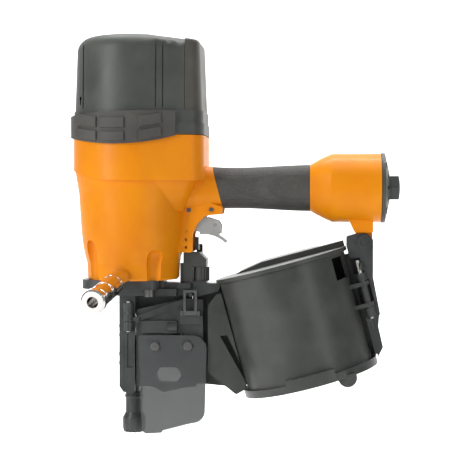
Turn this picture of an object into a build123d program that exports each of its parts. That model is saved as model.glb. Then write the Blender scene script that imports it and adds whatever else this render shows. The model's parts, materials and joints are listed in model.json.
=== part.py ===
from build123d import *
import os
from math import cos, radians, sin

# Pneumatic coil nail gun, in millimetres.
# Z is the drive axis and points up, away from the work. The origin is the centre of the muzzle tip.
# X points rearward along the handle. The nail strip runs in the plane Y = 0.
# The tool's left side, where the nose door and the canister cover open, faces -Y.

# ---- Drive train -----------------------------------------------------------------------------
BORE_R = 29.0               # cylinder bore
LINER_WALL = 2.5
LINER_Z0, LINER_Z1 = 178.0, 292.0
PISTON_Z = 279.0            # underside of the piston at the top of its stroke
PISTON_T = 10.0
DRIVER_R = 3.6
DRIVER_TIP_Z = 117.0
CHANNEL_R = 4.2             # nail channel in the nose
RUN = 0.1                   # radial clearance of a running fit

# ---- Housing ---------------------------------------------------------------------------------
HOUSING_Z0 = 154.0
BULGE_Z = 296.0             # top of the housing, where the cylinder cap seats
CAP_R = 58.0                # front radius of the head, seen along the drive axis
CAP_REAR = 72.0
CAP_TOP_Z = 394.0
FLANGE_Z = 320.0
REAR_SPLIT_X = 56.0         # the exhaust cover starts here
HANDLE_Z = 245.0
GRIP_END_X = 177.0
RESERVOIR_R = 34.0
RESERVOIR_X0, RESERVOIR_X1 = 198.0, 246.5
PORT_R = 7.4                # inlet bore for a 3/8 inch air fitting
TRIGGER_PIVOT = (57.3, 223.0)
LEVER_PIVOT = (83.0, 208.0)
VALVE_X = 72.0
VALVE_R = 8.0
VALVE_PIN = (79.4, 223.5)
BRACKET_BOLT = (230.6, 191.8)
CAP_BOLTS = [(-41, -28), (-41, 28), (42, -38), (42, 38)]
BASE_BOLTS = [(20, -30), (20, 30), (-33, -18), (-33, 18)]
END_SCREW_R = 31.3
END_SCREWS = [(END_SCREW_R * cos(radians(a)), HANDLE_Z + END_SCREW_R * sin(radians(a)))
              for a in (45, 135, 225, 315)]

# ---- Side handle -----------------------------------------------------------------------------
SIDE_HANDLE_AT = (-5.0, -42.0, 158.5)
SIDE_HANDLE_DROOP = 10.5
SIDE_HANDLE_FORWARD = 7.0
SIDE_HANDLE_LENGTH = 98.0

# ---- Nose ------------------------------------------------------------------------------------
NOSE_Z0, NOSE_Z1 = 41.0, 145.0
TRACK = 5.7                 # half width of the nail track
DOOR_HINGE = (-3.0, -17.0)
DOOR_X1 = 71.0
NOSE_TUBE_R = 6.2
MUZZLE_R, MUZZLE_DEPTH = 7.0, 13.4
SHIELD_SCREWS = [(56.6, 88.6), (24.0, 88.0)]
WINDOW = [(23, 59.2), (28, 52), (45, 52), (49.6, 59.2), (45, 66.5), (28, 66.5)]
CHECK_PIVOT = (49.0, -8.5)
FEED_Y, FEED_Z = 24.0, 107.0
FEED_PAWL_PIVOT = (12.0, 17.6)

# ---- Magazine, in a frame tilted back by the collation angle -----------------------------------
TILT_ANGLE = 15.0
MAGAZINE_AT = (178.0, 0.0, 57.0)
TILT = Location(MAGAZINE_AT, (0, -TILT_ANGLE, 0))
SHELL_R = 64.0
SHELL_T = 3.0
SHELL_H = 113.0
RIM_R = 68.0
COVER_HINGE = (73.5, -14.0)
POST_R = 5.0


# ---- Helpers ---------------------------------------------------------------------------------
def block(x, y, z):
    """A box given by its limits along each axis."""
    size = (x[1] - x[0], y[1] - y[0], z[1] - z[0])
    return Pos((x[0] + x[1]) / 2, (y[0] + y[1]) / 2, (z[0] + z[1]) / 2) * Box(*size)


def rod_z(x, y, z0, z1, r):
    return Pos(x, y, (z0 + z1) / 2) * Cylinder(r, z1 - z0)


def rod_x(x0, x1, y, z, r):
    return Pos((x0 + x1) / 2, y, z) * Rot(0, 90, 0) * Cylinder(r, x1 - x0)


def rod_y(x, y0, y1, z, r):
    return Pos(x, (y0 + y1) / 2, z) * Rot(90, 0, 0) * Cylinder(r, y1 - y0)


def side_plate(points, y0, y1, radius=0.0):
    """A plate from an outline of (x, z) points, with its corners rounded, between two Y planes."""
    corners = [(x, y0, z) for x, z in points]
    wire = FilletPolyline(*corners, radius=radius, close=True) if radius else Polyline(*corners, close=True)
    return extrude(make_face(wire), amount=y1 - y0, dir=(0, 1, 0))


def turned(points):
    """A solid of revolution about Z from an outline of (radius, z) points."""
    return revolve(make_face(Polyline(*[(r, 0, z) for r, z in points], close=True)), axis=Axis.Z)


def turned_x(points, z):
    """A solid of revolution about a line along X, from an outline of (x, radius) points."""
    profile = make_face(Polyline(*[(x, 0, r) for x, r in points], close=True))
    return Pos(0, 0, z) * revolve(profile, axis=Axis.X)


def ring_z(x, y, z0, z1, inner, outer):
    return rod_z(x, y, z0, z1, outer) - rod_z(x, y, z0 - 1, z1 + 1, inner)


def coil_spring(x, y, z0, z1, mean_r, wire_r, turns):
    """A compression spring that stands along Z."""
    height = z1 - z0 - 2 * wire_r
    path = Helix(pitch=height / turns, height=height, radius=mean_r)
    section = Plane(origin=path @ 0, z_dir=path % 0) * Circle(wire_r)
    return Pos(x, y, z0 + wire_r) * sweep(section, path=path)


def mirrored(shape):
    return shape + mirror(shape, about=Plane.XZ)


# ---- Head: outline, cap and exhaust cover ------------------------------------------------------
def head_outline(grow):
    """The head seen along the drive axis: a round front drawn out into a blunt rear."""
    corner_r, corner_y = 16.0, 26.0
    edges = Circle(CAP_R + grow).edges()
    for side in (-1, 1):
        edges += (Pos(CAP_REAR - corner_r, side * corner_y) * Circle(corner_r + grow)).edges()
    return make_hull(edges)


def head_solid(grow, z0, z1):
    return extrude(Pos(0, 0, z0) * head_outline(grow), amount=z1 - z0)


def head_crown(grow):
    """The drafted head above the flange, with a big round shoulder in front and a top that falls rearward."""
    crown = loft([Pos(0, 0, FLANGE_Z - 4) * head_outline(grow),
                  Pos(0, 0, CAP_TOP_Z + grow) * head_outline(grow - 3.0)])
    fall = side_plate([(20, CAP_TOP_Z + grow), (90, CAP_TOP_Z + grow - 7), (90, 420), (20, 420)], -90, 90)
    return crown - fall


def front_part(shape):
    return shape & block((-90, REAR_SPLIT_X - 0.2), (-90, 90), (280, 420))


def cylinder_cap():
    crown = front_part(head_crown(0))
    top_edges = crown.edges().filter_by(lambda e: e.center().Z > 380 and e.center().X < REAR_SPLIT_X - 1)
    crown = fillet(top_edges, 15)
    inner = front_part(head_crown(-1.3))
    skin = crown - inner
    for x in (-44.0, 29.0, 35.5):
        crown -= skin & block((x - 0.6, x + 0.6), (-90, 90), (FLANGE_Z + 2, CAP_TOP_Z - 6))
    flange = head_solid(2.0, BULGE_Z + 0.6, FLANGE_Z - 12) + head_solid(1.0, FLANGE_Z - 12, FLANGE_Z)
    cap = crown + flange
    for x, y in CAP_BOLTS:
        cap -= rod_z(x, y, FLANGE_Z, FLANGE_Z + 14, 8)
        cap -= rod_z(x, y, 280, FLANGE_Z + 1, 3.2)
    cap -= rod_z(0, 0, 280, 350, 42)
    cap -= rod_z(0, 0, 356, 384, 38)
    cap += rod_z(0, 0, 318, 352, 12)
    return cap


def exhaust_cover():
    cover = head_crown(0) & block((REAR_SPLIT_X + 0.2, 90), (-90, 90), (FLANGE_Z, 420))
    top_edges = cover.edges().filter_by(lambda e: e.center().Z > 380 and e.center().X > REAR_SPLIT_X + 1)
    cover = fillet(top_edges, 4)
    cover -= block((REAR_SPLIT_X - 1, 66), (-28, 28), (330, 382))
    for row in range(6):
        cover -= block((58.5, 66), (20, 60), (338 + 7 * row, 341.5 + 7 * row))
    return cover


def cap_bolts():
    bolts = []
    for x, y in CAP_BOLTS:
        head = rod_z(x, y, FLANGE_Z, FLANGE_Z + 6, 5)
        socket = Pos(x, y, FLANGE_Z + 4.5) * extrude(RegularPolygon(2.6, 6), amount=4)
        bolts.append(head - socket + rod_z(x, y, 262, FLANGE_Z, 3.0))
    return Compound(children=bolts)


def between_curves(low, high, x0, x1):
    """A tall slab across Y whose lower and upper edges are arcs through three (x, z) points each."""
    under = ThreePointArc(*[(x, -90, z) for x, z in low])
    over = ThreePointArc(*[(x, -90, z) for x, z in high])
    ends = Line(under @ 0, over @ 0) + Line(under @ 1, over @ 1)
    slab = extrude(make_face(under + over + ends), amount=180, dir=(0, 1, 0))
    return slab & block((x0, x1), (-90, 90), (200, 420))


def bumper_band():
    """A rubber band round the front of the head: its lower edge dips in front, and it has two rows of pads."""
    low = [(-66, 296), (-8, 287), (50, 296)]
    high = [(-66, 315), (-8, 318), (50, 319)]
    band = (head_solid(4.4, 280, 322) - head_solid(2.4, 270, 330)) & between_curves(low, high, -66, 48)
    proud = head_solid(6.2, 280, 322) - head_solid(3.4, 270, 330)
    for x0, x1 in ((-51, -28), (-24, 0), (14, 35)):
        for rise0, rise1 in ((2.5, 11.5), (15, 25)):
            lower = [(x, z + rise0) for x, z in low]
            upper = [(x, z + rise1) for x, z in low]
            pad = proud & between_curves(lower, upper, x0, x1)
            band += chamfer(pad.edges().filter_by(lambda e: abs(e.center().Y) > 40 and e.length > 6), 0.4)
    return band


def cap_gasket():
    gasket = head_solid(-1.0, BULGE_Z, BULGE_Z + 0.6) - rod_z(0, 0, 280, 300, 43)
    for x, y in CAP_BOLTS:
        gasket -= rod_z(x, y, 280, 300, 3.2)
    return gasket


# ---- Handle sections ---------------------------------------------------------------------------
def section_x(x, width, height, corner, z=HANDLE_Z):
    return Plane(origin=(x, 0, z), x_dir=(0, 1, 0), z_dir=(1, 0, 0)) * RectangleRounded(width, height, corner)


def handle_outer():
    """The handle as the hand meets it, from the head to the rear end of the grip."""
    return loft([section_x(30, 58, 62, 20, 250), section_x(66, 42, 45, 17, 245.5),
                 section_x(90, 35, 41, 16), section_x(130, 35, 42, 16), section_x(GRIP_END_X, 38, 46, 17.5)])


def handle_core():
    return loft([section_x(60, 27, 33, 12), section_x(90, 27, 33, 12), section_x(GRIP_END_X + 2, 30, 38, 14)])


def behind_grip_line():
    """Everything behind the slanted front end of the grip."""
    return side_plate([(75.5, 285), (80, 267), (91, 224), (96.5, 203), (GRIP_END_X, 203), (GRIP_END_X, 285)],
                      -40, 40)


def grip_sleeve():
    return (handle_outer() & behind_grip_line()) - handle_core()


# ---- Main housing ------------------------------------------------------------------------------
def housing_barrel():
    outer = Spline((46.5, 0, 170), (51.5, 0, 196), (54, 0, 232), (57, 0, 262))
    rim = Polyline((57, 0, 262), (57, 0, BULGE_Z), (0, 0, BULGE_Z), (0, 0, HOUSING_Z0),
                   (44.0, 0, HOUSING_Z0), (46.0, 0, HOUSING_Z0 + 2), (46.5, 0, 170))
    barrel = revolve(make_face(outer + rim), axis=Axis.Z)
    # scalloped recesses round the foot of the barrel
    for x, y, r, top in ((28, 42, 9, 176), (-37, 33, 8, 186)):
        scoop = turned([(0, 140), (r, 140), (r, top), (0.8 * r, top + 0.6 * r), (0.4 * r, top + 0.92 * r),
                        (0, top + 0.92 * r)])
        for side in (-1, 1):
            barrel -= Pos(x, side * y, 0) * scoop
    return barrel


def foot_outline():
    """The outline that the shoulder narrows to at the trigger ears."""
    edges = Circle(51.5).edges()
    for side in (-1, 1):
        edges += (Pos(40.5, side * 16) * Circle(12)).edges()
    return make_hull(edges)


def housing_bulge():
    """The wide shoulder under the head: its edge dips in front, and diagonal webs run down to the trigger."""
    dip_z, dip_r = 251.0, 160.0
    below = block((-90, 90), (-90, 90), (200, BULGE_Z + 0.5)) - rod_y(0, -90, 90, dip_z + dip_r, dip_r)
    band = head_solid(1.6, dip_z + 1, BULGE_Z) - below
    webs = loft([Pos(0, 0, 222) * foot_outline(), Pos(0, 0, 267) * head_outline(1.2)])
    return band + webs


def trigger_ears():
    """Two side walls below the handle root: they carry the trigger pin, and a flat tab hangs in front."""
    outline = [(44, 181), (61, 181), (61, 199), (66, 210), (74, 217.5), (90, 219), (91, 226), (60, 236),
               (44, 232)]
    wall = side_plate(outline, 11.5, 15.5, radius=2.5)
    for z in (186.0, 193.5, 202.6):
        wall -= rod_y(54.3, 10, 17, z, 1.4)
    return mirrored(wall)


def reservoir():
    flare = loft([section_x(GRIP_END_X, 38, 46, 17.5), section_x(190, 56, 60, 25),
                  section_x(RESERVOIR_X0, 2 * RESERVOIR_R - 0.8, 2 * RESERVOIR_R - 0.8, RESERVOIR_R - 1)])
    drum = rod_x(RESERVOIR_X0 - 0.4, RESERVOIR_X1, 0, HANDLE_Z, RESERVOIR_R)
    lug = side_plate([(214, 216), (222, 200), (223, 184), (238, 184), (239, 216)], -5, 5, radius=1.5)
    root = side_plate([(213, 218), (221, 201), (239, 201), (239, 218)], -12, 12, radius=1.5)
    return flare + drum + lug + root


def main_housing():
    body = housing_barrel() + housing_bulge() + (handle_outer() - behind_grip_line())
    body += handle_core() + reservoir() + trigger_ears()
    # flat web from the barrel out to the trigger ears
    body += side_plate([(30, 181), (46, 181), (61, 216), (62, 236), (30, 236)], -15.5, 15.5, radius=1.5)
    # cylinder bore, return-air chamber and the seat of the liner flange
    body -= rod_z(0, 0, HOUSING_Z0 + 4, 200, BORE_R)
    body -= rod_z(0, 0, LINER_Z0, 200, BORE_R + LINER_WALL)
    body -= rod_z(0, 0, 190, 286, 36)
    body -= rod_z(0, 0, 286, 292, 40)
    body -= rod_z(0, 0, 292, 300, 42)
    body -= rod_z(0, 0, 140, 170, 8)
    # air passage through the handle into the reservoir
    body -= rod_x(34, 195, 0, HANDLE_Z, 11)
    body -= turned_x([(188, 0), (188, 11), (204, 29), (250, 29), (250, 0)], HANDLE_Z)
    # trigger valve bore and the free space of the trigger
    body -= rod_z(VALVE_X, 0, 200, 238, VALVE_R)
    body -= block((46.5, 92), (-11.5, 11.5), (170, 217.5))
    body -= block((46.5, 64), (-11.5, 11.5), (216, 231))
    for x, y in CAP_BOLTS:
        body -= rod_z(x, y, 262, 300, 3.0)
    for x, y in BASE_BOLTS:
        body -= rod_z(x, y, 140, 168, 3.0)
    body -= rod_y(TRIGGER_PIVOT[0], -20, 20, TRIGGER_PIVOT[1], 2.2)
    body -= rod_y(VALVE_PIN[0], -30, 30, VALVE_PIN[1], 2.1)
    body -= rod_y(BRACKET_BOLT[0], -9, 9, BRACKET_BOLT[1], 4.0)
    body -= side_handle_axis() * Cylinder(5.0, 24)
    for y, z in END_SCREWS:
        body -= rod_x(232, 250, y, z, 2.0)
    return body


# ---- Cylinder, piston, head valve ---------------------------------------------------------------
def cylinder_liner():
    return turned([(BORE_R, LINER_Z0), (BORE_R + LINER_WALL, LINER_Z0), (BORE_R + LINER_WALL, 286),
                   (40, 286), (40, LINER_Z1), (BORE_R, LINER_Z1)])


def liner_seals():
    """Two O-rings on the outside of the liner: the lower one seals the seat, the upper one the flange."""
    low = Pos(0, 0, 196) * Torus(BORE_R + LINER_WALL + 1.4, 1.4)
    high = Pos(0, 0, 283) * Torus(BORE_R + LINER_WALL + 1.4, 1.4)
    return Compound(children=[low, high])


def piston_stop():
    return turned([(6.5, 158), (28.8, 158), (28.8, 168), (24, 174.5), (12, 174.5), (6.5, 170)])


def piston():
    r = BORE_R - RUN
    z0, z1 = PISTON_Z, PISTON_Z + PISTON_T
    disc = turned([(0, z0), (r - 2, z0), (r, z0 + 1.5), (r, z0 + 3.5), (r - 2.5, z0 + 3.5),
                   (r - 2.5, z0 + 6.5), (r, z0 + 6.5), (r, z1), (17, z1), (14, z0 + 5), (0, z0 + 5)])
    return disc + rod_z(0, 0, z0, z1 - 1, 7) - rod_z(0, 0, z0 - 1, z1 - 2, DRIVER_R)


def piston_seal():
    r = BORE_R - RUN
    return ring_z(0, 0, PISTON_Z + 3.5, PISTON_Z + 6.5, r - 2.5, r)


def driver_blade():
    return rod_z(0, 0, DRIVER_TIP_Z, PISTON_Z + PISTON_T - 2, DRIVER_R)


def head_valve():
    plate = turned([(12 + RUN, 292.8), (38, 292.8), (38, 299), (20, 300), (16, 303), (16, 330),
                    (12 + RUN, 330)])
    return plate + rod_z(0, 0, 292.8, 296, 13)


def head_valve_seal():
    return ring_z(0, 0, 293.2, 297, 38.3, 42)


# ---- Trigger group -----------------------------------------------------------------------------
def trigger():
    """A pressed channel: two cheeks, a curved finger pad below, open above for the trip lever."""
    outline = [(60.5, 203), (62, 209), (59, 216), (53, 220), (53, 227), (61, 227), (66, 215), (75, 216),
               (86, 212.5), (88.5, 208), (88, 202), (79, 200.2), (70, 200.6)]
    cheek = side_plate(outline, 8.6, 11.0, radius=0.9)
    pad_line = Spline((67.5, 0, 201.2), (75, 0, 201.6), (84, 0, 199.6), (95, 0, 192.4))
    pad_under = Spline((93.2, 0, 190.2), (83, 0, 196.8), (75, 0, 198.8), (67.5, 0, 198.6))
    ends = Line((95, 0, 192.4), (93.2, 0, 190.2)) + Line((67.5, 0, 198.6), (67.5, 0, 201.2))
    pad = extrude(make_face(pad_line + pad_under + ends), amount=11.0, dir=(0, 1, 0), both=True)
    joints = side_plate([(67.5, 199.5), (88, 199.5), (88, 204), (67.5, 204)], 8.6, 11.0)
    body = mirrored(cheek + joints) + pad
    body -= rod_y(TRIGGER_PIVOT[0], -20, 20, TRIGGER_PIVOT[1], 2.2 + RUN)
    body -= rod_y(LEVER_PIVOT[0], -20, 20, LEVER_PIVOT[1], 2.0)
    return body


def lever_pin():
    return rod_y(LEVER_PIVOT[0], -11.2, 11.2, LEVER_PIVOT[1], 2.0)


def trip_lever():
    """The safety lever inside the trigger: its free end rests over the contact arm."""
    blade = side_plate([(61.6, 201.7), (84, 205.2), (85.5, 210.6), (80, 210.3), (61.2, 204.4)], -3, 3,
                       radius=0.8)
    eye = rod_y(LEVER_PIVOT[0], -7.8, 7.8, LEVER_PIVOT[1], 3.6)
    return blade + eye - rod_y(LEVER_PIVOT[0], -9, 9, LEVER_PIVOT[1], 2.0 + RUN)


def trigger_valve_body():
    body = rod_z(VALVE_X, 0, 219, 238, VALVE_R)
    body -= rod_z(VALVE_X, 0, 210, 240, 2.5 + RUN)
    body -= rod_z(VALVE_X, 0, 221.5, 236, 5.2)
    body -= rod_y(VALVE_PIN[0], -30, 30, VALVE_PIN[1], 2.1)
    return body


def valve_plunger():
    return rod_z(VALVE_X, 0, 213.2, 234, 2.5) + rod_z(VALVE_X, 0, 222.5, 224.5, 3.4)


def housing_pins():
    """The trigger pivot pin and the pin that keeps the trigger valve in its bore."""
    pivot = rod_y(TRIGGER_PIVOT[0], -16, 16, TRIGGER_PIVOT[1], 2.2)
    keeper = rod_y(VALVE_PIN[0], -17.5, 17.5, VALVE_PIN[1], 2.1)
    return Compound(children=[pivot, keeper])


# ---- Handle end and air inlet -------------------------------------------------------------------
def end_cap():
    x0 = RESERVOIR_X1 + 0.8
    shape = turned_x([(x0, 9.5), (x0, 34.6), (x0 + 3, 34.6), (x0 + 3.6, 33.6), (x0 + 6.6, 20), (x0 + 8.2, 13),
                      (x0 + 8.2, 9.5)], HANDLE_Z)
    for angle in range(0, 360, 30):
        slot = Pos(0, 0, HANDLE_Z) * Rot(angle, 0, 0) * block((x0 + 3.4, x0 + 12), (-1.6, 1.6), (17.5, 26.5))
        shape -= slot
    for y, z in END_SCREWS:
        shape -= rod_x(x0 - 1, x0 + 9, y, z, 2.0)
        shape -= rod_x(x0 + 2.4, x0 + 9, y, z, 3.6)
    return shape


def end_cap_gasket():
    ring = rod_x(RESERVOIR_X1, RESERVOIR_X1 + 0.8, 0, HANDLE_Z, 34) - rod_x(240, 250, 0, HANDLE_Z, 28)
    for y, z in END_SCREWS:
        ring -= rod_x(240, 250, y, z, 2.2)
    return ring


def end_cap_screws():
    x0 = RESERVOIR_X1 + 0.8
    screws = []
    for y, z in END_SCREWS:
        head = rod_x(x0 + 2.4, x0 + 4.8, y, z, 3.4) - Pos(x0 + 4.2, y, z) * Rot(0, 90, 0) * extrude(
            RegularPolygon(1.8, 6), amount=2)
        screws.append(head + rod_x(233, x0 + 2.4, y, z, 2.0))
    return Compound(children=screws)


def air_inlet():
    x0 = RESERVOIR_X1 + 9.0
    hexagon = Plane(origin=(x0, 0, HANDLE_Z), x_dir=(0, 1, 0), z_dir=(1, 0, 0)) * RegularPolygon(
        11.6, 6, major_radius=False)
    body = extrude(hexagon, amount=9) & turned_x([(x0, 0), (x0, 12.6), (x0 + 0.8, 13.4), (x0 + 8, 13.4),
                                                  (x0 + 9, 12), (x0 + 9, 0)], HANDLE_Z)
    body += rod_x(236, x0, 0, HANDLE_Z, 9.5)
    body -= rod_x(230, 270, 0, HANDLE_Z, PORT_R)
    body -= rod_x(x0 + 5, x0 + 12, 0, HANDLE_Z, 9.2)
    return body


def inlet_plug():
    x0 = RESERVOIR_X1 + 14.0
    return turned_x([(x0 + 0.1, 0), (x0 + 0.1, 9.1), (x0 + 4.2, 9.1), (x0 + 4.8, 7.5), (x0 + 5.2, 4),
                     (x0 + 5.2, 0)], HANDLE_Z)


# ---- Side handle --------------------------------------------------------------------------------
def side_handle_axis():
    """A frame whose Z runs out along the side handle, from its seat on the housing."""
    return Location(SIDE_HANDLE_AT) * Rot(0, 0, -SIDE_HANDLE_FORWARD) * Rot(90 + SIDE_HANDLE_DROOP, 0, 0)


def side_handle():
    length = SIDE_HANDLE_LENGTH
    tube = turned([(5.3, 6), (9.0, 6), (9.0, 14), (10.2, 16), (10.2, 34), (9.2, 36), (9.2, 42), (10.2, 44),
                   (10.2, 62), (9.2, 64), (9.2, 68), (10.2, 70), (10.2, length - 14), (9.4, length - 12),
                   (9.4, length - 9), (11.6, length - 8), (11.6, length - 1.5), (10.2, length), (5.3, length)])
    return side_handle_axis() * (tube + rod_z(0, 0, 40, 60, 5.5))


def side_handle_stud():
    return side_handle_axis() * (rod_z(0, 0, -12, 40, 5.0) + rod_z(0, 0, 5.4, 6, 8.5))


# ---- Nose ---------------------------------------------------------------------------------------
def base_plate():
    """The plate that closes the barrel: the nose hangs from it."""
    corners = [(-50, -26), (-4, -38), (28, -38), (28, -14), (60, -14), (60, 14), (28, 14), (28, 38), (-4, 38),
               (-50, 26)]
    outline = FilletPolyline(*[(x, y, NOSE_Z1) for x, y in corners],
                             radius=[20, 9, 8, 5, 4, 4, 5, 8, 9, 20], close=True)
    plate = extrude(make_face(outline), amount=HOUSING_Z0 - NOSE_Z1)
    plate -= block((32, 70), (-20, 20), (150.5, 160))
    plate -= rod_z(0, 0, 140, 160, 5)
    for x, y in BASE_BOLTS:
        plate -= rod_z(x, y, 140, 160, 3.0)
    return plate


def base_bolts():
    bolts = []
    for x, y in BASE_BOLTS:
        head = rod_z(x, y, NOSE_Z1 - 7, NOSE_Z1, 5.2)
        socket = Pos(x, y, NOSE_Z1 - 7.5) * extrude(RegularPolygon(2.8, 6), amount=4)
        bolts.append(head - socket + rod_z(x, y, NOSE_Z1, 166, 3.0))
    return Compound(children=bolts)


def nose_body():
    """The fixed half of the nose: front column, far wall of the nail track, barrel tube and hinge lugs."""
    column = side_plate([(-13, NOSE_Z0 + 6), (-9, NOSE_Z0), (3, NOSE_Z0), (3, NOSE_Z1), (-13, NOSE_Z1)],
                        -12, 14, radius=1.5)
    wall = side_plate([(0, 52), (58, 52), (58, NOSE_Z1), (0, NOSE_Z1)], TRACK, 14, radius=1.0)
    top = block((-20, 45), (-20, 20), (138, NOSE_Z1)) + block((44, 58), (-10, 14), (138, NOSE_Z1))
    body = column + wall + top
    body -= block((-0.1, 61), (-TRACK, TRACK), (40, 136))
    body -= block((3, 61), (-30, -TRACK), (30, 137.9))
    # the contact shoe slides up into this pocket
    body -= rod_z(0, 0, 30, NOSE_Z0 + 12, 10)
    body += rod_z(0, 0, 14, NOSE_Z0 + 14, NOSE_TUBE_R)
    body -= rod_z(0, 0, 0, 160, CHANNEL_R)
    # slotted strap on the near side
    strap = side_plate([(-7, NOSE_Z0), (3, NOSE_Z0), (3, 103), (-7, 103)], -14.5, -12, radius=1.2)
    strap -= side_plate([(-5, 66), (2, 66), (2, 100), (-5, 100)], -16, -13, radius=1.5)
    body += strap
    x, y = DOOR_HINGE
    for z0, z1 in ((103, 112.2), (121, 131)):
        body += rod_z(x, y, z0, z1, 4.6) + block((x - 4.6, x + 4.6), (y, -11), (z0, z1))
    body -= rod_z(x, y, 100, 132, 2.2)
    # ribs on the front face
    for z in (70, 79, 98, 107):
        body += block((-14, -12), (-8, 8), (z - 1.2, z + 1.2))
    # window to watch the nails
    body -= side_plate([(22.5, 40), (51, 40), (51, 67.2), (22.5, 67.2)], 4, 20)
    # window for the feed pawl
    body -= block((1, 28), (TRACK - 1, 20), (96, 118))
    return body


def nose_bolts():
    bolts = []
    for x, z in ((30, 126), (52, 126), (30, 92), (52, 92)):
        head = rod_y(x, 14, 17, z, 4.0)
        bolts.append(head - rod_y(x, 15.5, 18, z, 2.0))
    return Compound(children=bolts)


def nose_door():
    """The swinging half of the nose: guide block, slanted ribs, raised L-shaped step and a latch lug."""
    panel = side_plate([(4, 47), (DOOR_X1 - 8, 47), (DOOR_X1, 60), (DOOR_X1, 134), (52, 135), (40, 132),
                        (5, 124), (4, 112)], -12, -TRACK - 0.3, radius=1.0)
    x, y = DOOR_HINGE
    knuckle = rod_z(x, y, 112.6, 120.6, 4.6) + block((x, 8), (y - 1, -12.4), (112.6, 116.6))
    body = panel + knuckle
    body += side_plate([(4, 117), (40, 131), (52, 134), (52, 129), (40, 125), (4, 111)], -15, -12, radius=1.0)
    body += side_plate([(10, 101), (45, 101), (45, 113), (10, 113)], -16.5, -12, radius=1.5)
    body += rod_x(36, 45.5, -14.5, 107, 5.0)
    body += side_plate([(48, 110), (DOOR_X1, 110), (DOOR_X1, 118.4), (48, 118.4)], -16, -12, radius=1.0)
    body -= rod_z(x, y, 100, 140, 2.2 + RUN)
    body -= rod_z(0, 0, 40, 51, 9.8)
    body -= side_plate(WINDOW, -13, -5, radius=1.0)
    body -= block((40, 52), (-13, -TRACK), (88, 100))
    body -= check_pawl_pin()
    for x, z in SHIELD_SCREWS:
        body -= rod_y(x, -13, -5, z, 2.0)
    return body


def door_plate():
    """The pressed plate below the door, with a long window to watch the nails."""
    plate = side_plate([(19, 49), (31, 41.5), (59, 48), (64, 55), (64, 98), (19, 98)], -14.2, -12,
                       radius=1.5)
    plate -= side_plate(WINDOW, -16, -11, radius=1.0)
    for x, z in SHIELD_SCREWS:
        plate -= rod_y(x, -16, -10, z, 2.0)
    return plate


def shield():
    """The clear guard in front of the nail track."""
    outline = [(7, 99), (75.5, 99), (73, 14), (57, 11), (31, 4), (30.4, 2), (11, 0.5)]
    radii = [3, 14, 12, 4, 0.7, 0.7, 5]
    corners = [(x, -19, z) for x, z in outline]
    plate = extrude(make_face(FilletPolyline(*corners, radius=radii, close=True)), amount=3, dir=(0, 1, 0))
    plate -= side_plate([(34, 30), (35, 29.6), (48, 41), (47, 41.6)], -20, -18.4)
    for x, z in SHIELD_SCREWS:
        plate -= rod_y(x, -20, -15, z, 2.1)
    return plate


def shield_screws():
    screws = []
    for x, z in SHIELD_SCREWS:
        head = rod_y(x, -21.5, -19, z, 4.2) - block((x - 2.6, x + 2.6), (-22, -20.6), (z - 0.5, z + 0.5))
        spacer = rod_y(x, -16, -14.2, z, 5.0)
        screws.append(head + rod_y(x, -19, -7, z, 2.0) + spacer)
    return Compound(children=screws)


def door_latch():
    """A wire frame that swings up over the peg on the magazine arm."""
    frame = side_plate([(52.2, 119), (65.8, 119), (65.8, 144), (52.2, 144)], -20.5, -17.5, radius=1.2)
    frame -= side_plate([(54.6, 123.4), (63.4, 123.4), (63.4, 141.6), (54.6, 141.6)], -22, -16, radius=1.2)
    return frame - rod_x(50, 68, -19, 121, 1.0 + RUN)


def latch_bracket():
    ears = block((49.4, 51.8), (-21, -12), (118.5, 123.5)) + block((66.2, 68.6), (-21, -12), (118.5, 123.5))
    return ears + rod_x(50, 68, -19, 121, 1.0)


def check_pawl():
    """The spring pawl in the door that stops the nail strip from sliding back."""
    x, y = CHECK_PIVOT
    arm = block((41, 51.4), (-9.6, -7.4), (89.5, 98.5)) + block((41, 43), (-7.6, -4.4), (90, 98))
    return arm + rod_z(x, y, 89, 99, 2.0) - rod_z(x, y, 80, 110, 0.9 + RUN)


def check_pawl_pin():
    x, y = CHECK_PIVOT
    return rod_z(x, y, 86, 102, 0.9)


# ---- Nail feed ----------------------------------------------------------------------------------
def feed_cylinder():
    tube = rod_x(24.5, 57, FEED_Y, FEED_Z, 9) - rod_x(26.5, 55, FEED_Y, FEED_Z, 6.5)
    tube -= rod_x(20, 40, FEED_Y, FEED_Z, 2.5 + RUN)
    foot = block((28.5, 57), (14, 20), (100, 114)) - rod_x(24, 58, FEED_Y, FEED_Z, 8)
    return tube + foot


def feed_piston():
    head = rod_x(31, 36, FEED_Y, FEED_Z, 6.5 - RUN) + rod_x(10, 34, FEED_Y, FEED_Z, 2.5)
    x, y = FEED_PAWL_PIVOT
    clevis = block((8, 16), (15.2, 28), (99, 115)) - block((7, 17), (14, 21.2), (101.6, 112.4))
    return head + clevis - rod_z(x, y, 90, 120, 1.0)


def feed_pawl():
    x, y = FEED_PAWL_PIVOT
    arm = block((4.5, x), (15.6, 19.6), (102, 112)) + block((4.5, 8.0), (3.0, 18), (103, 111))
    return arm + rod_z(x, y, 102, 112, 2.2) - rod_z(x, y, 90, 120, 1.0 + RUN)


def feed_pawl_pin():
    x, y = FEED_PAWL_PIVOT
    return rod_z(x, y, 99, 115, 1.0)


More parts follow.
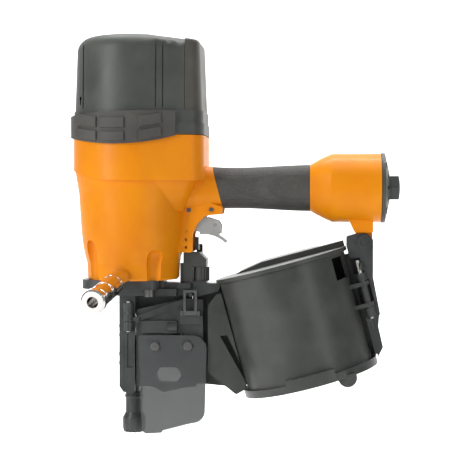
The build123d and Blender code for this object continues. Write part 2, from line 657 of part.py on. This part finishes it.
# ---- Contact trip -------------------------------------------------------------------------------
def contact_shoe():
    """The tip that meets the work: a sleeve round the nose tube, with teeth at its mouth."""
    inner = NOSE_TUBE_R + 0.4
    shoe = turned([(MUZZLE_R, 0), (10.2, 0), (11.5, 4), (11.5, 14), (8.5, 20), (8.5, 34), (9.3, 35), (9.3, 37),
                   (8.5, 38), (8.5, 40), (inner, 40), (inner, MUZZLE_DEPTH), (MUZZLE_R, MUZZLE_DEPTH)])
    for angle in range(0, 360, 30):
        notch = Rot(0, 0, angle) * side_plate([(9, -2.4), (13, -2.4), (13, 2.6), (9, 2.6)], -1.5, 1.5)
        shoe -= notch
    return shoe


def contact_arm():
    """The flat arm from the shoe, behind the nose and up to the trip lever."""
    foot = side_plate([(-5, 22), (6, 22), (6, 67.6), (68, 67.6), (68, 76), (-5, 76)], 15.5, 18, radius=1.5)
    bridge = block((-4, 4), (7.5, 16), (23, 30.4)) - rod_z(0, 0, 20, 40, 8.5)
    riser = side_plate([(61.8, 68), (68, 68), (68, 188.5), (61.8, 188.5)], 15.5, 18, radius=1.0)
    spring_tab = block((61.8, 68), (17, 28), (100, 103))
    cross = block((61.8, 65.6), (-2.8, 16), (183, 188.5))
    finger = block((61.8, 65.6), (-2.8, 2.8), (183, 196))
    return foot + bridge + riser + spring_tab + cross + finger


def trip_spring():
    return coil_spring(64.9, 24, 103, 138.5, 2.9, 0.6, 9)


def trip_guide():
    """The casting between the nose and the trigger ears: it guides the arm and holds the depth wheel."""
    guide = block((51, 60), (-9, 15.2), (150.5, 180.8)) + block((47.6, 52), (-7, 7), (150.5, 170))
    guide += block((59, 74), (-9, 15.2), (166.5, 180.8))
    guide += block((59, 74), (-9, 15.2), (150.5, 152.0))
    guide -= rod_z(68.5, 0, 140, 200, 2.2)
    guide -= side_plate([(66, 182), (75, 182), (75, 173)], -10, 16)
    return guide


def depth_wheel():
    wheel = rod_z(68.5, 0, 152.3, 166.2, 8.0)
    for angle in range(0, 360, 20):
        wheel -= Pos(68.5, 0, 0) * Rot(0, 0, angle) * rod_z(8.5, 0, 150, 168, 1.0)
    return wheel - rod_z(68.5, 0, 150, 170, 2.2 + RUN)


# ---- Magazine -----------------------------------------------------------------------------------
def magazine_arm():
    """The casting that carries the front of the magazine, with the peg for the door latch."""
    arm = side_plate([(58, 137), (66, 137), (86, 142), (89, 150), (60.2, 150.4), (60.2, 145), (58, 145)],
                     -9.5, 9.8, radius=0.8)
    arm -= TILT * rod_z(0, 0, -10, SHELL_H + 0.4, SHELL_R + 0.4)
    arm -= TILT * rod_z(0, 0, SHELL_H, SHELL_H + 20, 67)
    # stop of the contact-arm spring, carried round the arm
    arm += block((68.6, 71.6), (8, 28.5), (138.5, 141.5)) + block((61.5, 71.6), (18.6, 28.5), (138.5, 141.5))
    # catch of the door latch
    arm += block((58.2, 60.8), (-21.0, -8), (137.6, 140.8))
    return arm


def half_shell(side):
    """One half of the canister: wall, floor and rim, on the side given by the sign."""
    wall = ring_z(0, 0, 0, SHELL_H, SHELL_R - SHELL_T, SHELL_R)
    floor = rod_z(0, 0, -1.5, 2.5, SHELL_R)
    rim = ring_z(0, 0, -2.5, 5, SHELL_R - SHELL_T, RIM_R)
    y = (0.3, 90) if side > 0 else (-90, -0.3)
    return (wall + floor + rim) & block((-90, 90), y, (-20, 130))


def magazine_shell():
    shell = half_shell(1)
    shell -= block((-70, -52), (-1, 13), (5, SHELL_H + 1))
    shell += rod_z(0, 0, -1.5, 3, 12)
    shell += block((58, 67.5), (0.5, 12), (20, SHELL_H - 4)) - rod_z(0, 0, 0, 120, SHELL_R - SHELL_T)
    shell -= rod_z(0, 0, -10, 10, POST_R)
    shell = TILT * shell
    throat = side_plate([(58.6, 48), (58.6, 142), (66, 146), (92, 150), (96, 141), (119, 48), (104, 44)],
                        10, 14, radius=1.5)
    throat -= block((68.3, 71.9), (9, 15), (138.2, 141.8))
    return shell + (throat - TILT * rod_z(0, 0, 0, SHELL_H, SHELL_R - SHELL_T))


def magazine_top():
    plate = rod_z(0, 0, SHELL_H + 0.4, SHELL_H + 4.4, 67)
    # the far side of the lid is raised, so that long nails clear it
    ramp = side_plate([(-52, SHELL_H + 3), (-40, SHELL_H + 6.5), (-18, SHELL_H + 10), (66, SHELL_H + 10),
                       (66, SHELL_H + 3)], 2, 62)
    plate += ramp & rod_z(0, 0, SHELL_H, SHELL_H + 20, 66)
    plate -= block((40, 80), (20, 80), (100, 130))
    return TILT * plate


def platform_post():
    return TILT * rod_z(0, 0, -1.5, SHELL_H + 0.4, POST_R)


def nail_platform():
    disc = rod_z(0, 0, 12, 15, 54) + rod_z(0, 0, 15, 24, 10)
    for angle in range(0, 360, 30):
        disc -= Rot(0, 0, angle) * rod_z(40, 0, 0, 30, 5)
    return TILT * (disc - rod_z(0, 0, 0, 40, POST_R + RUN))


def canister_cover():
    """The near half of the canister: it swings out on the rear hinge and carries the near side of the throat."""
    shell = half_shell(-1)
    shell -= rod_z(0, 0, -10, 10, 12.4)
    shell -= block((-70, -52), (-9.8, 1), (5, SHELL_H + 1))
    x, y = COVER_HINGE
    for z0, z1 in ((54.4, 58.4), (75.6, 79.6)):
        flange = block((52, x), (y - 8, y), (z0, z1)) - rod_z(0, 0, 0, 120, SHELL_R - SHELL_T)
        shell += flange + rod_z(x, y, z0, z1, 6.0)
    shell += rod_z(x, y, 58, 76, 3.7)
    # opening beside the lid
    shell -= block((50, 61), (-60, -16), (88, SHELL_H - 3))
    shell -= rod_z(x, y, 50, 100, 2.5 + RUN)
    # grip tab on the rim and a half-round foot
    tab = (ring_z(0, 0, -1.8, 10, SHELL_R - 1, RIM_R + 1.6)) & block((-22, 26), (-90, -40), (-6, 12))
    foot = Pos(36, -56, -2.5) * Rot(90, 0, 0) * Cylinder(9, 5) & block((0, 60), (-70, -50), (-20, 0))
    shell = TILT * (shell + tab + foot)
    throat = side_plate([(76, 62), (76, 128), (84, 139), (89, 141), (115, 46), (104, 40)], -14, -10.2,
                        radius=2.0)
    throat -= side_plate([(88, 98), (95, 99), (116, 55), (114, 52)], -15, -9)
    return shell + (throat - TILT * rod_z(0, 0, 0, SHELL_H, SHELL_R - SHELL_T))


def magazine_bracket():
    """The rear casting between the reservoir lug and the back of the canister."""
    outline = [(213, 180), (213, 197), (222, 199.6), (234, 199.6), (239, 194), (239, 157), (246, 121),
               (243, 114), (249, 88), (243, 76), (236, 76)]
    casting = side_plate(outline, -12, 12, radius=1.6)
    casting -= TILT * rod_z(0, 0, -30, 7, RIM_R + 2.4)
    casting -= TILT * block((-20, 67.5), (-20, 20), (-30, SHELL_H + 6.0))
    casting -= block((212, 240), (-5.2, 5.2), (183, 201))
    x, y = COVER_HINGE
    for z0, z1 in ((44, 53.8), (80.2, 88), (91, 98)):
        casting += TILT * (rod_z(x, y, z0, z1, 5.0) + block((x - 4, x + 5), (y, -8), (z0, z1)))
    casting -= TILT * rod_z(x, y, 53.8, 80.2, 7.0)
    casting -= TILT * rod_z(x, y, 30, 100, 2.5)
    casting -= rod_y(BRACKET_BOLT[0], -20, 20, BRACKET_BOLT[1], 4.0)
    # the pocket beside the lid, and the wall behind it that reaches the far half of the canister
    casting -= block((214, 226), (-20, 4), (160, 176))
    wall = side_plate([(203, 170), (206, 178), (226, 178), (246, 120), (243, 76), (228, 74)], 6, 12)
    wall -= TILT * rod_z(0, 0, -30, SHELL_H + 25, SHELL_R + 0.1)
    wall -= TILT * rod_z(0, 0, -30, 5.3, RIM_R + 0.3)
    wall -= TILT * rod_z(0, 0, SHELL_H, SHELL_H + 25, 67.4)
    wall -= TILT * block((50, 67.8), (-1, 12.3), (19.6, SHELL_H))
    casting += wall
    return casting


def bracket_bolt():
    x, z = BRACKET_BOLT
    body = rod_y(x, -14, 14, z, 4.0) + rod_y(x, -15.5, -12, z, 6.8) + rod_y(x, 12, 15.5, z, 6.8)
    return body - rod_y(x, -17, -14.3, z, 4.6)


def hinge_pins():
    """The fixed pins of the nose door, of the canister cover and of the depth wheel."""
    door = rod_z(*DOOR_HINGE, 102, 132.5, 2.2)
    cover = TILT * rod_z(*COVER_HINGE, 42, 101, 2.5)
    wheel = rod_z(68.5, 0, 150.6, 176, 2.2)
    return Compound(children=[door, cover, wheel])


NODES = {
    "main_housing": main_housing,
    "cylinder_cap": cylinder_cap,
    "exhaust_cover": exhaust_cover,
    "cap_bolts": cap_bolts,
    "cap_gasket": cap_gasket,
    "bumper_band": bumper_band,
    "cylinder_liner": cylinder_liner,
    "liner_seals": liner_seals,
    "piston_stop": piston_stop,
    "piston": piston,
    "piston_seal": piston_seal,
    "driver_blade": driver_blade,
    "head_valve": head_valve,
    "head_valve_seal": head_valve_seal,
    "head_valve_spring": lambda: coil_spring(0, 0, 300.4, 350, 22, 1.6, 6),
    "grip_sleeve": grip_sleeve,
    "trigger": trigger,
    "lever_pin": lever_pin,
    "trip_lever": trip_lever,
    "trigger_valve_body": trigger_valve_body,
    "valve_plunger": valve_plunger,
    "valve_spring": lambda: coil_spring(VALVE_X, 0, 224.6, 236, 4.2, 0.5, 5),
    "housing_pins": housing_pins,
    "end_cap": end_cap,
    "end_cap_gasket": end_cap_gasket,
    "end_cap_screws": end_cap_screws,
    "air_inlet": air_inlet,
    "inlet_plug": inlet_plug,
    "side_handle": side_handle,
    "side_handle_stud": side_handle_stud,
    "base_plate": base_plate,
    "base_bolts": base_bolts,
    "nose_body": nose_body,
    "nose_bolts": nose_bolts,
    "hinge_pins": hinge_pins,
    "nose_door": nose_door,
    "door_plate": door_plate,
    "shield": shield,
    "shield_screws": shield_screws,
    "door_latch": door_latch,
    "latch_bracket": latch_bracket,
    "check_pawl": check_pawl,
    "check_pawl_pin": check_pawl_pin,
    "feed_cylinder": feed_cylinder,
    "feed_piston": feed_piston,
    "feed_pawl": feed_pawl,
    "feed_pawl_pin": feed_pawl_pin,
    "contact_shoe": contact_shoe,
    "contact_arm": contact_arm,
    "trip_spring": trip_spring,
    "trip_guide": trip_guide,
    "depth_wheel": depth_wheel,
    "magazine_arm": magazine_arm,
    "magazine_shell": magazine_shell,
    "magazine_top": magazine_top,
    "platform_post": platform_post,
    "nail_platform": nail_platform,
    "canister_cover": canister_cover,
    "magazine_bracket": magazine_bracket,
    "bracket_bolt": bracket_bolt,
}

os.makedirs("parts", exist_ok=True)
for name, make in NODES.items():
    export_step(make(), f"parts/{name}.step")
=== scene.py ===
import bpy
import json
import math
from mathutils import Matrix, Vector

# Looks of the pneumatic nail gun. Every length is in metres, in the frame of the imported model.

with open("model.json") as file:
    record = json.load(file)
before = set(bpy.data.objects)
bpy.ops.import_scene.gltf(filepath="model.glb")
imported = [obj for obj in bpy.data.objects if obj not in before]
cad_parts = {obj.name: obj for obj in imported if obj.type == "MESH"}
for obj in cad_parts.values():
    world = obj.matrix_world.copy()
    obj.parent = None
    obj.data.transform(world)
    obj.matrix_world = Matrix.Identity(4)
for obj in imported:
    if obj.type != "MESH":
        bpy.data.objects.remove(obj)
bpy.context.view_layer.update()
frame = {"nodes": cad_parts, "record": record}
nodes = frame["nodes"]

MM = 0.001


# ---- Shader helpers ----------------------------------------------------------------------------
class Surface:
    """A Principled material with a few named patterns that share one set of object coordinates."""

    def __init__(self, name, **sockets):
        self.material = bpy.data.materials.new(name)
        self.material.use_nodes = True
        self.tree = self.material.node_tree
        self.shader = self.tree.nodes["Principled BSDF"]
        for key, value in sockets.items():
            self.shader.inputs[key.replace("_", " ")].default_value = value
        self.coords = self.tree.nodes.new("ShaderNodeTexCoord").outputs["Object"]
        self.height = None

    def node(self, kind, **settings):
        made = self.tree.nodes.new(kind)
        for key, value in settings.items():
            setattr(made, key, value)
        return made

    def link(self, source, target):
        self.tree.links.new(source, target)

    def noise(self, size, detail=4.0, roughness=0.55, stretch=(1, 1, 1)):
        """Noise whose features are about size metres across."""
        mapping = self.node("ShaderNodeMapping")
        mapping.inputs["Scale"].default_value = stretch
        self.link(self.coords, mapping.inputs["Vector"])
        made = self.node("ShaderNodeTexNoise")
        made.inputs["Scale"].default_value = 1.0 / size
        made.inputs["Detail"].default_value = detail
        made.inputs["Roughness"].default_value = roughness
        self.link(mapping.outputs["Vector"], made.inputs["Vector"])
        return made.outputs["Fac"]

    def cells(self, size, randomness):
        """Distance to the nearest of many points about size metres apart."""
        made = self.node("ShaderNodeTexVoronoi")
        made.inputs["Scale"].default_value = 1.0 / size
        made.inputs["Randomness"].default_value = randomness
        self.link(self.coords, made.inputs["Vector"])
        return made.outputs["Distance"]

    def span(self, value, low, high, to_low=0.0, to_high=1.0):
        """Maps value from low..high to to_low..to_high, clamped."""
        made = self.node("ShaderNodeMapRange")
        limits = {"From Min": low, "From Max": high, "To Min": to_low, "To Max": to_high}
        for socket, number in limits.items():
            made.inputs[socket].default_value = number
        self.link(value, made.inputs["Value"])
        return made.outputs["Result"]

    def blend(self, factor, first, second):
        """Mixes two colours, each a tuple or a socket."""
        made = self.node("ShaderNodeMix", data_type="RGBA")
        self.link(factor, made.inputs["Factor"])
        for socket, colour in (("A", first), ("B", second)):
            target = [i for i in made.inputs if i.name == socket and i.type == "RGBA"][0]
            if isinstance(colour, tuple):
                target.default_value = (*colour, 1.0)
            else:
                self.link(colour, target)
        return [o for o in made.outputs if o.type == "RGBA"][0]

    def product(self, first, second):
        """Multiplies two values, each a number or a socket."""
        made = self.node("ShaderNodeMath", operation="MULTIPLY")
        for socket, value in zip(made.inputs, (first, second)):
            if isinstance(value, float):
                socket.default_value = value
            else:
                self.link(value, socket)
        return made.outputs["Value"]

    def edges(self, width):
        """1 on sharp edges and 0 on flats, from how far a rounded normal leans away."""
        bevel = self.node("ShaderNodeBevel", samples=4)
        bevel.inputs["Radius"].default_value = width
        geometry = self.node("ShaderNodeNewGeometry")
        dot = self.node("ShaderNodeVectorMath", operation="DOT_PRODUCT")
        self.link(bevel.outputs["Normal"], dot.inputs[0])
        self.link(geometry.outputs["Normal"], dot.inputs[1])
        return self.span(dot.outputs["Value"], 1.0, 0.75)

    def colour(self, value):
        self.link(value, self.shader.inputs["Base Color"])

    def roughness(self, value):
        self.link(value, self.shader.inputs["Roughness"])

    def bump(self, value, depth):
        """Adds a layer of relief, depth metres high, over those added before it."""
        made = self.node("ShaderNodeBump")
        made.inputs["Distance"].default_value = depth
        made.inputs["Strength"].default_value = 1.0
        self.link(value, made.inputs["Height"])
        if self.height is not None:
            self.link(self.height, made.inputs["Normal"])
        self.height = made.outputs["Normal"]
        self.link(self.height, self.shader.inputs["Normal"])


# ---- Materials ---------------------------------------------------------------------------------
def orange_paint():
    """Satin paint with faint unevenness, a little dust, and pale scuffs on its edges."""
    s = Surface("orange_paint", Coat_Weight=0.06, Coat_Roughness=0.22, IOR=1.30)
    wide = s.noise(70 * MM, 3)
    fine = s.noise(6 * MM, 5)
    base = s.blend(s.span(wide, 0.35, 0.65), (0.76, 0.225, 0.001), (0.84, 0.285, 0.002))
    dust = s.blend(s.span(fine, 0.60, 0.85, 0.0, 0.18), base, (0.58, 0.16, 0.004))
    worn = s.product(s.edges(0.7 * MM), s.span(s.noise(3 * MM, 6), 0.52, 0.62))
    s.colour(s.blend(s.product(worn, 0.45), dust, (0.95, 0.50, 0.16)))
    s.roughness(s.span(fine, 0.3, 0.7, 0.36, 0.50))
    s.bump(s.noise(1.3 * MM, 2), 0.02 * MM)
    s.bump(wide, 0.25 * MM)
    return s.material


def moulded(name, dark, light, rough, grain=0.9, relief=0.045, wear=0.35):
    """Moulded plastic, rubber or painted casting: grain and relief in millimetres, paler worn edges."""
    s = Surface(name, IOR=1.47)
    cloud = s.noise(28 * MM, 4)
    fine = s.noise(grain * MM, 3, 0.6)
    base = s.blend(s.span(cloud, 0.35, 0.68), dark, light)
    pale = tuple(min(1.0, 2.3 * c + 0.02) for c in light)
    worn = s.product(s.edges(0.6 * MM), s.span(s.noise(2.5 * MM, 5), 0.42, 0.62))
    s.colour(s.blend(s.product(worn, wear), base, pale))
    s.roughness(s.span(cloud, 0.3, 0.7, rough - 0.06, rough + 0.07))
    s.bump(fine, relief * MM)
    return s.material


def dimpled_rubber():
    """Grip rubber with small round dimples set close together, their hollows painted near-black as shade."""
    s = Surface("grip_rubber", IOR=1.45)
    cloud = s.noise(20 * MM, 4)
    pit_depth_and_shade = s.cells(1.7 * MM, randomness=0.35)
    base = s.blend(s.span(cloud, 0.35, 0.7), (0.060, 0.058, 0.053), (0.084, 0.082, 0.075))
    # Painted shade: the dimple bottoms are darkened to near-black (0.022), the same cells also set the dimple
    # depth below.
    s.colour(s.blend(s.span(pit_depth_and_shade, 0.12, 0.40), (0.022, 0.022, 0.020), base))
    s.roughness(s.span(cloud, 0.3, 0.7, 0.58, 0.70))
    s.bump(s.span(pit_depth_and_shade, 0.1, 0.55), 0.25 * MM)
    s.bump(s.noise(0.6 * MM, 2), 0.03 * MM)
    return s.material


def metal(name, colour, rough, streak, relief, stain):
    """Bare metal with faint stains and fine machining marks, relief millimetres deep, drawn out by streak."""
    s = Surface(name, Metallic=1.0)
    cloud = s.noise(9 * MM, 5)
    lines = s.noise(0.9 * MM, 3, 0.6, streak)
    dull = tuple(0.55 * c for c in colour)
    base = s.blend(s.span(cloud, 0.45, 0.75, 0.0, stain), colour, dull)
    s.colour(s.blend(s.span(lines, 0.3, 0.7, 0.0, 0.18), base, dull))
    s.roughness(s.span(lines, 0.3, 0.7, max(0.03, rough - 0.08), rough + 0.10))
    s.bump(lines, relief * MM)
    return s.material


def smoke_clear():
    """Smoked clear plastic with fine scratches."""
    s = Surface("smoke_clear", IOR=1.45, Alpha=0.80)
    scratch = s.noise(2.5 * MM, 6, 0.7, (1, 1, 6))
    cloud = s.noise(25 * MM, 3)
    s.colour(s.blend(s.span(cloud, 0.3, 0.7), (0.068, 0.074, 0.074), (0.088, 0.094, 0.094)))
    s.roughness(s.span(scratch, 0.45, 0.75, 0.12, 0.30))
    s.bump(scratch, 0.01 * MM)
    return s.material


def red_plastic():
    """Glossy red plastic of the dust plug."""
    s = Surface("red_plastic", Coat_Weight=0.3, IOR=1.46)
    cloud = s.noise(4 * MM, 4)
    s.colour(s.blend(s.span(cloud, 0.35, 0.65), (0.36, 0.012, 0.012), (0.52, 0.03, 0.022)))
    s.roughness(s.span(s.noise(2 * MM, 4), 0.3, 0.7, 0.25, 0.42))
    s.bump(s.noise(0.8 * MM, 2), 0.03 * MM)
    return s.material


EVEN = (1, 1, 1)
MATERIALS = {
    "orange_paint": orange_paint(),
    "cap_plastic": moulded("cap_plastic", (0.050, 0.055, 0.048), (0.070, 0.075, 0.066), 0.46),
    "exhaust_plastic": moulded("exhaust_plastic", (0.058, 0.055, 0.045), (0.080, 0.075, 0.062), 0.5),
    "bumper_rubber": moulded("bumper_rubber", (0.058, 0.055, 0.050), (0.080, 0.076, 0.069), 0.62,
                             grain=1.2, relief=0.08, wear=0.2),
    "grip_rubber": dimpled_rubber(),
    "black_casting": moulded("black_casting", (0.034, 0.037, 0.037), (0.058, 0.062, 0.062), 0.38,
                             grain=1.4, relief=0.09, wear=0.5),
    "magazine_plastic": moulded("magazine_plastic", (0.042, 0.046, 0.043), (0.061, 0.065, 0.060), 0.36,
                                grain=1.1, relief=0.04),
    "chrome": metal("chrome", (0.80, 0.78, 0.76), 0.09, (1, 0.15, 1), 0.004, 0.08),
    "trigger_alloy": metal("trigger_alloy", (0.62, 0.62, 0.60), 0.36, EVEN, 0.03, 0.2),
    "steel": metal("steel", (0.17, 0.17, 0.165), 0.40, EVEN, 0.02, 0.4),
    "bright_steel": metal("bright_steel", (0.62, 0.60, 0.56), 0.27, (1, 1, 4), 0.015, 0.3),
    "alloy": metal("alloy", (0.58, 0.58, 0.57), 0.33, (1, 1, 6), 0.015, 0.2),
    "seal_rubber": moulded("seal_rubber", (0.012, 0.012, 0.012), (0.020, 0.020, 0.020), 0.6,
                           grain=0.8, relief=0.03, wear=0.1),
    "smoke_clear": smoke_clear(),
    "red_plastic": red_plastic(),
}

# Width of the rounding on a piece's edges, in millimetres, by slot; the others get EDGE_WIDTH.
EDGE_WIDTH = 0.35
EDGE = {"orange_paint": 0.8, "cap_plastic": 0.6, "chrome": 0.3, "bright_steel": 0.2, "steel": 0.2,
        "smoke_clear": 0.3, "seal_rubber": 0.1}


def dress(node, slot):
    """Gives a CAD node its material, and rounds its sharp edges a little so that they catch the light."""
    piece = nodes[node]
    piece.data.materials.clear()
    piece.data.materials.append(MATERIALS[slot])
    weld = piece.modifiers.new("weld", "WELD")
    weld.merge_threshold = 0.002 * MM
    bevel = piece.modifiers.new("edge", "BEVEL")
    bevel.width = EDGE.get(slot, EDGE_WIDTH) * MM
    bevel.segments = 2
    bevel.limit_method = "ANGLE"
    bevel.angle_limit = math.radians(38)
    smooth = piece.modifiers.new("normals", "WEIGHTED_NORMAL")
    smooth.keep_sharp = False


for part in frame["record"]["subparts"]:
    dress(part["node"], part["material_slot"])


# ---- Studio ------------------------------------------------------------------------------------
def backdrop():
    """Matt white with very faint cloudiness."""
    white = 0.93
    s = Surface("studio_white", Roughness=0.8)
    s.colour(s.blend(s.noise(0.5, 2), 3 * (white,), 3 * (0.985 * white,)))
    return s.material


def sweep():
    """A pale floor that curves up into a pale wall behind."""
    floor_z, front, depth, height, radius, half = -0.16, -4.0, 3.2, 3.5, 1.2, 4.0
    steps = 12
    profile = [(front, floor_z)]
    for step in range(steps + 1):
        a = math.radians(90 * step / steps)
        profile.append((depth - radius + radius * math.sin(a), floor_z + radius - radius * math.cos(a)))
    profile.append((depth, height))
    verts = [(x, y, z) for y, z in profile for x in (-half, half)]
    faces = [(2 * i, 2 * i + 1, 2 * i + 3, 2 * i + 2) for i in range(len(profile) - 1)]
    mesh = bpy.data.meshes.new("sweep")
    mesh.from_pydata(verts, [], faces)
    for polygon in mesh.polygons:
        polygon.use_smooth = True
    floor = bpy.data.objects.new("sweep", mesh)
    floor.data.materials.append(backdrop())
    bpy.context.scene.collection.objects.link(floor)


def softbox(name, place, target, width, height, power):
    """A white area light of the given size and watts, turned towards target."""
    light = bpy.data.lights.new(name, "AREA")
    light.shape = "RECTANGLE"
    light.size, light.size_y = width, height
    light.energy = power
    made = bpy.data.objects.new(name, light)
    made.location = place
    made.rotation_euler = (Vector(target) - Vector(place)).to_track_quat("-Z", "Y").to_euler()
    bpy.context.scene.collection.objects.link(made)


def studio():
    sweep()
    middle = (0.10, 0.0, 0.20)
    softbox("key", (-1.1, -1.2, 0.70), middle, 0.45, 1.1, 16)
    softbox("fill", (1.2, -1.2, 0.35), middle, 0.4, 1.2, 3.5)
    softbox("top", (0.0, -0.2, 1.5), middle, 0.7, 0.7, 4.5)
    softbox("rim", (0.9, 0.7, 0.9), middle, 0.5, 1.0, 4)
    softbox("wall", (0.1, 1.0, 2.8), (0.1, 3.1, 0.5), 3.0, 1.0, 170)
    world = bpy.data.worlds.new("studio")
    bpy.context.scene.world = world
    world.use_nodes = True
    world.node_tree.nodes["Background"].inputs["Color"].default_value = (1, 1, 1, 1)
    world.node_tree.nodes["Background"].inputs["Strength"].default_value = 0.30


def camera():
    """Nearly level view of the tool's left side, a few degrees round towards the handle end."""
    azimuth, elevation, distance = math.radians(4.0), math.radians(1.5), 1.25
    view_width = 0.470
    sensor = 36.0
    aim = Vector((0.102, 0.0, 0.198))
    ahead = Vector((-math.sin(azimuth) * math.cos(elevation),
                    math.cos(azimuth) * math.cos(elevation),
                    -math.sin(elevation)))
    data = bpy.data.cameras.new("camera")
    data.sensor_width = sensor
    data.lens = sensor * distance / view_width
    made = bpy.data.objects.new("camera", data)
    made.location = aim - ahead * distance
    made.rotation_euler = ahead.to_track_quat("-Z", "Y").to_euler()
    bpy.context.scene.collection.objects.link(made)
    bpy.context.scene.camera = made


studio()
camera()
bpy.context.scene.view_settings.view_transform = "Standard"
